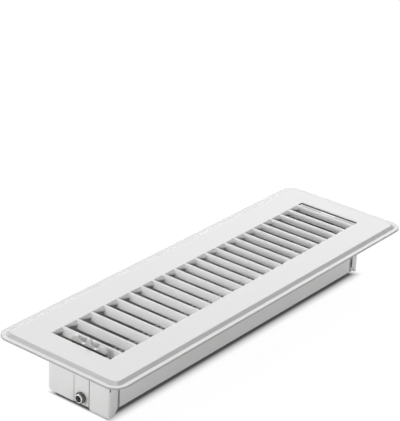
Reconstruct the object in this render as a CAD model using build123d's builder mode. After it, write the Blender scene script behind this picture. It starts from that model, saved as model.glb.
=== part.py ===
from build123d import *
from math import atan2, cos, degrees, hypot, radians, sin, tan
import os

os.makedirs("parts", exist_ok=True)

# Floor register for a 2-1/4 x 10 in duct opening, in millimetres.
# X runs along its length with the lever end at -X, and Z = 0 is the foot of the duct box.

# Overall sizes
face_length = 292.1
face_width = 95.25
drop = 37.5
step_height = 1.4

# Face plate: a flat rim, a pressed step and a raised field with louvres
face_sheet = 0.9
rim_width = 3.0
step_run = 2.6
corner_radius = 9.5
field_edge_radius = 0.9
rim_edge_break = 0.3

# Louvres, placed from the inside of the duct box
opening_margin = 0.6
neck_run = 2.5
first_edge_step = 1.4
first_bar_step = 11.5
last_bar_step = 6.95
bar_count = 23
pitch_growth = 0.0096
tightest_step = 16.2
bar_width = 1.2
fold_radius = 1.05
fin_share_near = 0.36
fin_share_far = 0.235
lean_near = 40.0
lean_far = 10.0
neck_depth = 1.6
lip_run = 5.9
lip_radius = 2.2
lip_turn = 50.0
lip_straight = 0.2

# Duct box
wall_sheet = 0.6
near_overhang = 21.15
far_overhang = 18.0
box_width = 49.4
side_depth = 33.0
side_flange = 6.0
lap = 6.7
panel_top_gap = 2.0
bend_radius = 2.0
seam_y = -8.6
crease_y = 4.2
joggle_run = 0.9
inner_panel_reach = 20.0
inner_panel_lift = 1.2
foot_chamfer_y = 4.1
foot_chamfer_z = 1.8
lap_slant = 4.8
tab_corner = 1.6
tab_rise = 0.3
tab_slope = 2.0
lance_y = -23.9
lance_z = 19.5
lance_width = 0.7
lance_height = 3.0
lance_dot_step = 2.2

# Lever and its pivot
pivot_y = -2.0
pivot_z = 5.8
tube_radius = 2.8
tube_bore = 2.15
tube_out = 2.3
tube_break = 0.25
running_fit = 0.05
lever_sheet = 2.0
lever_step = 5.9
hub_radius = 5.2
head_above = 3.9
head_half_angle = 22.5
head_tilt = 1.2
head_shoulder = 2.6
scallop_radius = 3.1
scallop_offset = 4.6
scallop_sink = 1.3
scallop_round = 1.2
pin_slot_wall = 2.2
ring_radius = 3.5
ring_length = 1.4
bush_wall = 1.5
tube_past = 0.4
washer_sheet = 0.3
washer_radius = 5.0
washer_foot = 4.0
washer_crown = 1.5
washer_clearance = 0.25
side_gap = 0.2

# Damper
leaf_side_gap = 0.7
leaf_middle_gap = 0.8
leaf_end_gap = 1.6
leaf_axis_z = 13.5
leaf_sheet = 0.6
leaf_drop = 2.2
bead_half = 3.2
bead_rise = 1.0
lever_closed = 9.0
lever_open = -17.0
leaf_ratio = 3.2
bracket_sheet = 0.8
near_bracket_step = 8.4
far_bracket_step = 9.0
bracket_flange = 5.0
bracket_bend = 1.2
bracket_bottom = 1.2
bracket_shoulder = 5.2
bracket_tongue = 12.0
bracket_top = 29.0
axle_radius = 1.5
pin_radius = 1.2
pin_head = 0.8
pin_head_step = 0.4
axle_past = 0.8
ear_round = 3.2
ear_half = 7.0
ear_sides = 8
ear_wall = 1.6
drive_slot_play = 0.3
tie_reach = 6.0
tie_sheet = 0.8
tie_gap = 0.3
tie_half = 2.4

# Levels that follow from the sizes above
rim_top = drop
field_top = rim_top + step_height
field_under = field_top - face_sheet
side_bottom = drop - side_depth
panel_top = field_under - panel_top_gap

# Places across the box
lap_face = box_width / 2
side_face = lap_face - wall_sheet
side_inner = side_face - wall_sheet
opening_half = side_inner - opening_margin
fin_half = opening_half - neck_run
leaf_width = side_inner - leaf_side_gap - leaf_middle_gap / 2
leaf_spacing = leaf_width + leaf_middle_gap

# Places along the box
box_near_x = near_overhang - face_length / 2
box_far_x = face_length / 2 - far_overhang
first_edge_x = box_near_x + first_edge_step
lever_x = box_near_x + lever_step
bracket_near_x = box_near_x + near_bracket_step
bracket_far_x = box_far_x - far_bracket_step
leaf_near_x = bracket_near_x + bracket_sheet + leaf_end_gap
leaf_far_x = bracket_far_x - bracket_sheet - leaf_end_gap

# Places round the lever's pivot
tube_bearing = tube_radius + running_fit
head_radius = field_top + head_above - pivot_z
head_angle = 90 + head_tilt
scallop_centre = head_radius - scallop_sink
scallop_angle = degrees(atan2(scallop_offset, scallop_centre))


def yz_plane(x):
    """A sketch plane across the register, with local x along Y and local y along Z."""
    return Plane(origin=(x, 0, 0), x_dir=(0, 1, 0), z_dir=(1, 0, 0))


def polar(centre, radius, angle):
    """A point on a circle in a sketch, from an angle in degrees."""
    return (centre[0] + radius * cos(radians(angle)), centre[1] + radius * sin(radians(angle)))


def toward_far(index, near_value, far_value):
    """A value that changes evenly from the first bar to the last."""
    return near_value + (far_value - near_value) * index / (bar_count - 1)


def keep(builder, name):
    """Label a finished piece and write its file."""
    builder.part.label = name
    export_step(builder.part, f"parts/{name}.step")


# Louvre stations: the bars stand wider apart where the fins lean further
bar_x = [box_near_x + first_bar_step]
widening = [pitch_growth * (step + 0.5 - tightest_step) ** 2 for step in range(bar_count - 1)]
bars_run = box_far_x - last_bar_step - bar_x[0]
tight_pitch = (bars_run - sum(widening)) / (bar_count - 1)
for extra in widening:
    bar_x.append(bar_x[-1] + tight_pitch + extra)
openings = [(first_edge_x, bar_x[0] - bar_width / 2)]
for near_bar, far_bar in zip(bar_x, bar_x[1:]):
    openings.append((near_bar + bar_width / 2, far_bar - bar_width / 2))
lip_start_x = bar_x[-1] + bar_width / 2 + lip_run
openings.append((bar_x[-1] + bar_width / 2, lip_start_x))


def fold_profile(start_x, radius, turn, straight):
    """Section of a sheet that leaves the field at start_x and folds down towards -X."""
    centre = (start_x, field_top - radius)
    inner = radius - face_sheet
    end_angle = 90 + turn
    outer_end = polar(centre, radius, end_angle)
    inner_end = polar(centre, inner, end_angle)
    reach = (-straight * cos(radians(turn)), -straight * sin(radians(turn)))
    outer_tip = (outer_end[0] + reach[0], outer_end[1] + reach[1])
    inner_tip = (inner_end[0] + reach[0], inner_end[1] + reach[1])
    root = bar_width / 2
    with BuildLine() as outline:
        Line((start_x + root, field_top), (start_x, field_top))
        CenterArc(centre, radius, 90, turn)
        Line(outer_end, outer_tip)
        Line(outer_tip, inner_tip)
        Line(inner_tip, inner_end)
        CenterArc(centre, inner, 90, turn)
        Line((start_x, field_under), (start_x + root, field_under))
        Line((start_x + root, field_under), (start_x + root, field_top))
    return outline


# Fins: flaps that hang from the far edge of each opening and lean towards the lever end
with BuildPart() as fins:
    for index, bar in enumerate(bar_x):
        near_edge, far_edge = openings[index]
        lean = toward_far(index, lean_near, lean_far)
        fin_length = toward_far(index, fin_share_near, fin_share_far) * (far_edge - near_edge + bar_width)
        with BuildSketch(Plane.XZ):
            add(fold_profile(far_edge, fold_radius, 90 - lean, fin_length).line)
            make_face()
        extrude(amount=opening_half, both=True)
    neck_low = (fin_half, field_top - neck_depth)
    with BuildSketch(yz_plane(first_edge_x)):
        with BuildLine():
            Polyline(
                neck_low,
                (opening_half, field_top),
                (opening_half + face_sheet, field_top),
                (opening_half + face_sheet, 0),
                (fin_half, 0),
                close=True,
            )
        make_face()
        mirror(about=Plane.YZ)
    extrude(amount=lip_start_x - first_edge_x, mode=Mode.SUBTRACT)

# Necks: the sheet drawn down from each end of an opening to the fin
with BuildPart() as necks:
    with BuildSketch(Plane.XY.offset(field_top - neck_depth - face_sheet)):
        for index, bar in enumerate(bar_x):
            near_edge, far_edge = openings[index]
            lean = radians(toward_far(index, lean_near, lean_far))
            below_fold = neck_depth - fold_radius * (1 - sin(lean))
            run = fold_radius * cos(lean) + below_fold * tan(lean)
            with BuildLine():
                Polyline(
                    (near_edge, opening_half),
                    (far_edge + bar_width / 2, opening_half),
                    (far_edge + bar_width / 2, fin_half),
                    (far_edge - run, fin_half),
                    close=True,
                )
            make_face()
        mirror(about=Plane.XZ)
    extrude(amount=neck_depth + face_sheet)
    with BuildSketch(yz_plane(first_edge_x)):
        with BuildLine():
            Polyline(
                (opening_half, field_top),
                (opening_half, field_top - face_sheet),
                (fin_half, field_top - neck_depth - face_sheet),
                neck_low,
                close=True,
            )
        make_face()
        mirror(about=Plane.YZ)
    extrude(amount=lip_start_x - first_edge_x, mode=Mode.INTERSECT)

# Face plate, pressed from one sheet
with BuildPart() as face_plate:
    press_shift = face_sheet * step_height / (step_height + 2 * step_run)
    base_inset = rim_width
    top_inset = rim_width + step_run
    with BuildSketch(Plane.XY.offset(rim_top - face_sheet)):
        RectangleRounded(face_length, face_width, corner_radius)
    extrude(amount=face_sheet)
    chamfer(face_plate.faces().sort_by(Axis.Z)[-1].edges(), rim_edge_break)
    for level, inset in ((rim_top, base_inset), (field_top, top_inset)):
        with BuildSketch(Plane.XY.offset(level)):
            RectangleRounded(face_length - 2 * inset, face_width - 2 * inset, corner_radius - inset)
    loft()
    fillet(face_plate.faces().sort_by(Axis.Z)[-1].edges(), field_edge_radius)
    for level, inset in ((rim_top - face_sheet, base_inset), (field_under, top_inset)):
        inner_inset = inset + press_shift
        with BuildSketch(Plane.XY.offset(level)):
            RectangleRounded(
                face_length - 2 * inner_inset, face_width - 2 * inner_inset, corner_radius - inner_inset
            )
    loft(mode=Mode.SUBTRACT)
    with BuildSketch(Plane.XY.offset(field_under)):
        for near_edge, far_edge in openings:
            with Locations(((near_edge + far_edge) / 2, 0)):
                Rectangle(far_edge - near_edge, 2 * opening_half)
    extrude(amount=face_sheet, mode=Mode.SUBTRACT)
    add(fins.part)
    add(necks.part)
    with BuildSketch(Plane.XZ):
        add(fold_profile(lip_start_x, lip_radius, lip_turn, lip_straight).line)
        make_face()
    extrude(amount=opening_half, both=True)
keep(face_plate, "face_plate")


def side_wall(name, side):
    """A long wall of the duct box, with a flange turned out under the face plate's field."""
    with BuildPart() as wall:
        with BuildSketch(yz_plane(box_near_x + bend_radius)):
            with BuildLine():
                Polyline(
                    (side * side_inner, side_bottom),
                    (side * side_inner, field_under),
                    (side * (side_face + side_flange), field_under),
                    (side * (side_face + side_flange), field_under - wall_sheet),
                    (side * side_face, field_under - wall_sheet),
                    (side * side_face, side_bottom),
                    close=True,
                )
            make_face()
        extrude(amount=box_far_x - box_near_x - 2 * bend_radius)
    keep(wall, name)


side_wall("left_side_wall", 1)
side_wall("right_side_wall", -1)


def end_base(end, height):
    """Plane of an end wall: local x runs into the box, and the lever end lies at -X."""
    if end == "near":
        return Plane(origin=(box_near_x, 0, height), x_dir=(1, 0, 0), z_dir=(0, 0, 1))
    return Plane(origin=(box_far_x, 0, height), x_dir=(-1, 0, 0), z_dir=(0, 0, 1))


def end_face(end):
    """Plane on an end wall's outside, with local x along the wall and local y upward."""
    base = end_base(end, 0)
    return Plane(origin=base.origin, x_dir=base.y_dir, z_dir=base.x_dir)


def lap_face_plane(end, side):
    """Plane on the outside of a lap, with local x running into the box and local y upward."""
    base = end_base(end, 0)
    return Plane(origin=base.origin + base.y_dir * side * lap_face, x_dir=base.x_dir, z_dir=-base.y_dir)


def round_bend(section, side):
    """Round the outside and the inside of the bend where a panel turns into its lap."""
    outside = section.vertices().sort_by_distance((0, side * lap_face, 0))[0]
    fillet(outside, bend_radius)
    inside = section.vertices().sort_by_distance((wall_sheet, side * side_face, 0))[0]
    fillet(inside, bend_radius - wall_sheet)


def inner_panel(name, end):
    """End wall sheet that laps the left long wall and steps in under the outer panel."""
    joggle_shift = wall_sheet * tan(atan2(wall_sheet, joggle_run) / 2)
    with BuildPart() as panel:
        with BuildSketch(end_base(end, inner_panel_lift)) as section:
            with BuildLine():
                Polyline(
                    (lap, lap_face),
                    (0, lap_face),
                    (0, crease_y),
                    (wall_sheet, crease_y - joggle_run),
                    (wall_sheet, -inner_panel_reach),
                    (2 * wall_sheet, -inner_panel_reach),
                    (2 * wall_sheet, crease_y - joggle_run + joggle_shift),
                    (wall_sheet, crease_y + joggle_shift),
                    (wall_sheet, side_face),
                    (lap, side_face),
                    close=True,
                )
            make_face()
            round_bend(section, 1)
        extrude(amount=panel_top - inner_panel_lift)
        with BuildSketch(end_face(end)):
            with BuildLine():
                Polyline(
                    (lap_face, inner_panel_lift),
                    (lap_face, inner_panel_lift + foot_chamfer_z),
                    (lap_face - foot_chamfer_y, inner_panel_lift),
                    close=True,
                )
            make_face()
            with Locations((pivot_y, pivot_z)):
                Circle(tube_bearing)
        extrude(amount=2 * bend_radius, mode=Mode.SUBTRACT)
        with BuildSketch(lap_face_plane(end, 1)):
            with BuildLine():
                Polyline(
                    (bend_radius, 0),
                    (bend_radius, inner_panel_lift + foot_chamfer_z),
                    (lap, inner_panel_lift + foot_chamfer_z + lap_slant),
                    (lap, 0),
                    close=True,
                )
            make_face()
        extrude(amount=wall_sheet, mode=Mode.SUBTRACT)
    keep(panel, name)


def outer_panel(name, end):
    """End wall sheet laid over the inner panel and lapped round the right long wall."""
    with BuildPart() as panel:
        with BuildSketch(end_base(end, 0)) as section:
            with BuildLine():
                Polyline(
                    (0, seam_y),
                    (0, -lap_face),
                    (lap, -lap_face),
                    (lap, -side_face),
                    (wall_sheet, -side_face),
                    (wall_sheet, seam_y),
                    close=True,
                )
            make_face()
            round_bend(section, -1)
        extrude(amount=panel_top)
        seam_foot = end_face(end).from_local_coords((seam_y, 0, 0))
        fillet(panel.edges().filter_by(Axis.X).sort_by_distance(seam_foot)[0], tab_corner)
        with BuildSketch(end_face(end)):
            with BuildLine():
                Polyline(
                    (-lap_face, 0),
                    (-lap_face, tab_rise),
                    (-lap_face + bend_radius, tab_rise),
                    (-lap_face + bend_radius + tab_slope, 0),
                    close=True,
                )
            make_face()
            with Locations((lance_y, lance_z)):
                Rectangle(lance_width, lance_height)
            with Locations((lance_y + lance_dot_step, lance_z - lance_height / 3)):
                Circle(lance_width / 2)
        extrude(amount=wall_sheet + bend_radius, mode=Mode.SUBTRACT)
        with BuildSketch(lap_face_plane(end, -1)):
            with BuildLine():
                Polyline((bend_radius, 0), (bend_radius, tab_rise), (lap, lap_slant), (lap, 0), close=True)
            make_face()
        extrude(amount=-wall_sheet, mode=Mode.SUBTRACT)
    keep(panel, name)


inner_panel("near_end_inner_panel", "near")
outer_panel("near_end_outer_panel", "near")
inner_panel("far_end_inner_panel", "far")
outer_panel("far_end_outer_panel", "far")

# Linkage: the lever's slot swings the right leaf through a pin on the leaf's ear
pivot = (pivot_y, pivot_z)
right_axle = (-leaf_spacing / 2, leaf_axis_z)
left_axle = (leaf_spacing / 2, leaf_axis_z)
drive_span = hypot(right_axle[0] - pivot_y, right_axle[1] - pivot_z)
drive_angle = degrees(atan2(right_axle[1] - pivot_z, right_axle[0] - pivot_y))
half_swing = (lever_closed - lever_open) / 2
middle = (lever_closed + lever_open) / 2
leaf_swing = leaf_ratio * half_swing
lever_tangent = tan(radians(half_swing))
across = sin(radians(leaf_swing)) - lever_tangent * cos(radians(leaf_swing))
drive_reach = drive_span * lever_tangent / across
slot_angle = drive_angle - middle
drive_pin_angle = drive_angle - leaf_ratio * middle
blade_angle = -leaf_ratio * lever_closed
tie_pin_angle = 90 - leaf_ratio * middle
shortest = hypot(
    drive_span + drive_reach * cos(radians(leaf_swing)),
    drive_reach * sin(radians(leaf_swing)),
)
slot_radius = pin_radius + drive_slot_play
drive_pin_at = polar(right_axle, drive_reach, drive_pin_angle)

# Foot lever with its scalloped head
with BuildPart() as lever:
    with BuildSketch(yz_plane(lever_x - lever_sheet / 2)) as outline:
        with BuildLine():
            Line(pivot, polar(pivot, head_radius, head_angle - head_half_angle))
            CenterArc(pivot, head_radius, head_angle - head_half_angle, 2 * head_half_angle)
            Line(polar(pivot, head_radius, head_angle + head_half_angle), pivot)
        make_face()
        fillet(outline.vertices().sort_by(Axis.Y)[1:], head_shoulder)
        for side in (-1, 1):
            with Locations(polar(pivot, scallop_centre, head_angle + side * scallop_angle)):
                Circle(scallop_radius, mode=Mode.SUBTRACT)
        crown = [point for point in outline.vertices() if point.Y > pivot_z + scallop_centre]
        fillet([point for point in crown if abs(point.X - pivot_y) < 2 * scallop_offset], scallop_round)
        with Locations(pivot):
            Circle(hub_radius)
    extrude(amount=lever_sheet)
    with BuildSketch(yz_plane(lever_x - lever_sheet / 2)):
        with Locations(pivot):
            Circle(hub_radius)
        with Locations(polar(pivot, drive_span + drive_reach, slot_angle)):
            Circle(slot_radius + pin_slot_wall)
        make_hull()
    extrude(amount=lever_sheet)
    with BuildSketch(yz_plane(lever_x - lever_sheet / 2)):
        with Locations(pivot):
            Circle(tube_radius)
        slot_travel = drive_span + drive_reach - shortest
        with Locations(Location(polar(pivot, drive_span + drive_reach - slot_travel / 2, slot_angle))):
            SlotCenterToCenter(slot_travel + 2 * drive_slot_play, 2 * slot_radius, rotation=slot_angle)
    extrude(amount=lever_sheet, mode=Mode.SUBTRACT)
keep(lever, "lever")


def collar(name, start_x, length, bore, radius, edge=0.0):
    """A plain round piece on the pivot's axis, with its outward rim broken when edge is set."""
    with BuildPart() as piece:
        with BuildSketch(yz_plane(start_x)):
            with Locations(pivot):
                Circle(radius)
                Circle(bore, mode=Mode.SUBTRACT)
        extrude(amount=length)
        if edge:
            rims = piece.edges().filter_by(GeomType.CIRCLE).group_by(Axis.X)[0]
            chamfer(rims.sort_by(SortBy.RADIUS)[-1], edge)
    keep(piece, name)


# Pivot tube, the ring outside the wall, and the bush and washer inside it
tube_start = box_near_x - tube_out
tube_end = bracket_near_x + bracket_sheet + tube_past
wall_out = box_near_x + wall_sheet
wall_in = wall_out + wall_sheet
lever_near = lever_x - lever_sheet / 2
lever_far = lever_x + lever_sheet / 2
collar("pivot_tube", tube_start, tube_end - tube_start, tube_bore, tube_radius, tube_break)
collar("retaining_ring", wall_out - side_gap - ring_length, ring_length, tube_radius, ring_radius)
collar("spacer_bush", wall_in, lever_near - side_gap - wall_in, tube_bearing, tube_bearing + bush_wall)

with BuildPart() as spring_washer:
    rise = bracket_near_x - lever_far - side_gap - washer_sheet
    with BuildSketch(Plane.XZ.offset(-pivot_y)):
        with BuildLine():
            foot_x = bracket_near_x - washer_sheet
            crown_x = foot_x - rise
            inside = [
                (bracket_near_x, pivot_z - washer_radius),
                (bracket_near_x, pivot_z - washer_foot),
                (bracket_near_x - rise, pivot_z - washer_crown),
                (bracket_near_x - rise, pivot_z + washer_crown),
                (bracket_near_x, pivot_z + washer_foot),
                (bracket_near_x, pivot_z + washer_radius),
            ]
            outside = [(x - washer_sheet, z) for x, z in reversed(inside)]
            Polyline(*inside, *outside, close=True)
        make_face()
    extrude(amount=washer_radius, both=True)
    with BuildSketch(yz_plane(crown_x)):
        with Locations(pivot):
            Circle(washer_radius)
            Circle(tube_radius + washer_clearance, mode=Mode.SUBTRACT)
    extrude(amount=bracket_near_x - crown_x, mode=Mode.INTERSECT)
keep(spring_washer, "spring_washer")


def bracket(name, end):
    """A cross plate that carries the leaves' axles, with flanges seated on the long walls."""
    near = end == "near"
    outer_x = bracket_near_x if near else bracket_far_x
    toward = 1 if near else -1
    base = Plane(origin=(outer_x, 0, bracket_shoulder), x_dir=(toward, 0, 0), z_dir=(0, 0, 1))
    with BuildPart() as plate:
        with BuildSketch(base) as section:
            with BuildLine():
                Polyline(
                    (-bracket_flange, side_inner),
                    (bracket_sheet, side_inner),
                    (bracket_sheet, -side_inner),
                    (-bracket_flange, -side_inner),
                    (-bracket_flange, -side_inner + bracket_sheet),
                    (0, -side_inner + bracket_sheet),
                    (0, side_inner - bracket_sheet),
                    (-bracket_flange, side_inner - bracket_sheet),
                    close=True,
                )
            make_face()
            fillet(section.vertices().filter_by_position(Axis.X, bracket_sheet, bracket_sheet), bracket_bend)
        extrude(amount=bracket_top - bracket_shoulder)
        if near:
            with BuildSketch(yz_plane(outer_x)):
                with Locations((pivot_y, (bracket_bottom + bracket_shoulder) / 2)):
                    Rectangle(bracket_tongue, bracket_shoulder - bracket_bottom)
            extrude(amount=bracket_sheet)
        with BuildSketch(yz_plane(min(outer_x, outer_x + toward * bracket_sheet))):
            with Locations(left_axle, right_axle):
                Circle(axle_radius + running_fit)
            if near:
                with Locations(pivot):
                    Circle(tube_bearing)
                with BuildLine():
                    CenterArc(right_axle, drive_reach, drive_angle - leaf_swing, 2 * leaf_swing)
                trace(line_width=2 * slot_radius)
                with Locations(
                    polar(right_axle, drive_reach, drive_angle - leaf_swing),
                    polar(right_axle, drive_reach, drive_angle + leaf_swing),
                ):
                    Circle(slot_radius)
        extrude(amount=bracket_sheet, mode=Mode.SUBTRACT)
    keep(plate, name)


bracket("near_damper_bracket", "near")
bracket("far_damper_bracket", "far")


def leaf_plane(axle, x):
    """Sketch plane on a leaf's axis, with local x along the blade as it stands at rest."""
    along = (0, cos(radians(blade_angle)), sin(radians(blade_angle)))
    return Plane(origin=(x, axle[0], axle[1]), x_dir=along, z_dir=(1, 0, 0))


def leaf(name, axle, near_hole):
    """A damper leaf: a beaded blade below its axis, with an ear turned up at each end."""
    half = leaf_width / 2
    fold = leaf_sheet * tan(radians(22.5))
    tie_hole = polar((0, 0), tie_reach, tie_pin_angle - blade_angle)
    with BuildPart() as piece:
        with BuildSketch(leaf_plane(axle, leaf_near_x)):
            with BuildLine():
                Polyline(
                    (-half, -leaf_drop),
                    (-bead_half, -leaf_drop),
                    (-bead_half + bead_rise, -leaf_drop - bead_rise),
                    (bead_half - bead_rise, -leaf_drop - bead_rise),
                    (bead_half, -leaf_drop),
                    (half, -leaf_drop),
                    (half, -leaf_drop - leaf_sheet),
                    (bead_half + fold, -leaf_drop - leaf_sheet),
                    (bead_half - bead_rise + fold, -leaf_drop - leaf_sheet - bead_rise),
                    (-bead_half + bead_rise - fold, -leaf_drop - leaf_sheet - bead_rise),
                    (-bead_half - fold, -leaf_drop - leaf_sheet),
                    (-half, -leaf_drop - leaf_sheet),
                    close=True,
                )
            make_face()
        extrude(amount=leaf_far_x - leaf_near_x)
        for ear_x, hole in ((leaf_near_x, near_hole), (leaf_far_x - leaf_sheet, tie_hole)):
            with BuildSketch(leaf_plane(axle, ear_x)):
                RegularPolygon(ear_round, ear_sides)
                if hole:
                    with Locations(hole):
                        RegularPolygon(pin_radius + ear_wall, ear_sides)
                with Locations((0, -leaf_drop - leaf_sheet / 2)):
                    Rectangle(2 * ear_half, leaf_sheet)
                make_hull()
            extrude(amount=leaf_sheet)
            with BuildSketch(leaf_plane(axle, ear_x)):
                Circle(axle_radius)
                if hole:
                    with Locations(hole):
                        Circle(pin_radius)
            extrude(amount=leaf_sheet, mode=Mode.SUBTRACT)
    keep(piece, name)


leaf("left_damper_leaf", left_axle, None)
leaf("right_damper_leaf", right_axle, polar((0, 0), drive_reach, drive_pin_angle - blade_angle))


def headed_pin(name, centre, radius, head_x, outward, tip_x):
    """A pin whose head sits on the inside of a leaf's ear and whose shank points outward."""
    seat = Plane(origin=(head_x, centre[0], centre[1]), x_dir=(0, 1, 0), z_dir=(outward, 0, 0))
    with BuildPart() as pin:
        with BuildSketch(seat):
            Circle(radius)
        extrude(amount=abs(tip_x - head_x))
        with BuildSketch(seat):
            Circle(radius + pin_head_step)
        extrude(amount=-pin_head)
    keep(pin, name)


near_head_x = leaf_near_x + leaf_sheet
far_head_x = leaf_far_x - leaf_sheet
near_tip_x = bracket_near_x - axle_past
far_tip_x = bracket_far_x + axle_past
tie_x = leaf_far_x + tie_gap
tie_tip_x = tie_x + tie_sheet + side_gap
headed_pin("near_left_axle_pin", left_axle, axle_radius, near_head_x, -1, near_tip_x)
headed_pin("near_right_axle_pin", right_axle, axle_radius, near_head_x, -1, near_tip_x)
headed_pin("far_left_axle_pin", left_axle, axle_radius, far_head_x, 1, far_tip_x)
headed_pin("far_right_axle_pin", right_axle, axle_radius, far_head_x, 1, far_tip_x)
headed_pin("drive_pin", drive_pin_at, pin_radius, near_head_x, -1, lever_near - side_gap)

# Tie bar across the far ears, so that both leaves turn together
left_tie = polar(left_axle, tie_reach, tie_pin_angle)
right_tie = polar(right_axle, tie_reach, tie_pin_angle)
headed_pin("left_tie_pin", left_tie, pin_radius, far_head_x, 1, tie_tip_x)
headed_pin("right_tie_pin", right_tie, pin_radius, far_head_x, 1, tie_tip_x)

with BuildPart() as tie_bar:
    with BuildSketch(yz_plane(tie_x)):
        with Locations(((left_tie[0] + right_tie[0]) / 2, left_tie[1])):
            SlotCenterToCenter(leaf_spacing, 2 * tie_half)
        with Locations(left_tie, right_tie):
            Circle(pin_radius + running_fit, mode=Mode.SUBTRACT)
    extrude(amount=tie_sheet)
keep(tie_bar, "tie_bar")
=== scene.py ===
import math

import bpy
from mathutils import Matrix, Vector


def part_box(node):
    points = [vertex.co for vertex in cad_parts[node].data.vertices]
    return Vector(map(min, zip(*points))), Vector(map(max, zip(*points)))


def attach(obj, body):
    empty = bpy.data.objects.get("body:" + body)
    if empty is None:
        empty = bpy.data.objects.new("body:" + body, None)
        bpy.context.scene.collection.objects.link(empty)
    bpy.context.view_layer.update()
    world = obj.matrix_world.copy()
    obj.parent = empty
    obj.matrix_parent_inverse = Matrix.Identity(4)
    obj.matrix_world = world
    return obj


bl_info = {
    "name": "Floor register finish",
    "version": (1, 0, 0),
    "blender": (4, 5, 0),
    "location": "View3D > Sidebar > Register",
    "description": "Enamel, plated steel, weld spots and a plain stage for a drop-in floor register",
    "category": "Object",
}

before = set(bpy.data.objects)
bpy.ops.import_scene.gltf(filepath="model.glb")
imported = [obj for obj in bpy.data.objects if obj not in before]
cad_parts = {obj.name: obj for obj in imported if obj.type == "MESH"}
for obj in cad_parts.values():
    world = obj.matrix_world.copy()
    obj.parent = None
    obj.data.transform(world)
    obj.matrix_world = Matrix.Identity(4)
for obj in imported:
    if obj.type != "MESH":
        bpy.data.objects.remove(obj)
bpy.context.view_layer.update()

ENAMELLED_FACE = ("face_plate",)
ENAMELLED_WALLS = ("left_side_wall", "right_side_wall")
ENAMELLED_ENDS = (
    "near_end_inner_panel",
    "near_end_outer_panel",
    "far_end_inner_panel",
    "far_end_outer_panel",
)
ENAMELLED_DAMPER = (
    "near_damper_bracket",
    "far_damper_bracket",
    "left_damper_leaf",
    "right_damper_leaf",
)
ENAMELLED_LEVER = ("lever",)
PLATED = (
    "near_left_axle_pin",
    "near_right_axle_pin",
    "far_left_axle_pin",
    "far_right_axle_pin",
    "drive_pin",
    "left_tie_pin",
    "right_tie_pin",
    "pivot_tube",
    "spacer_bush",
    "tie_bar",
)
BLACKENED = ("retaining_ring", "spring_washer")

# The duct box's sheet thickness and flange width in metres, as in the CAD
SHEET = 0.0006
FLANGE = 0.006


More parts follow.
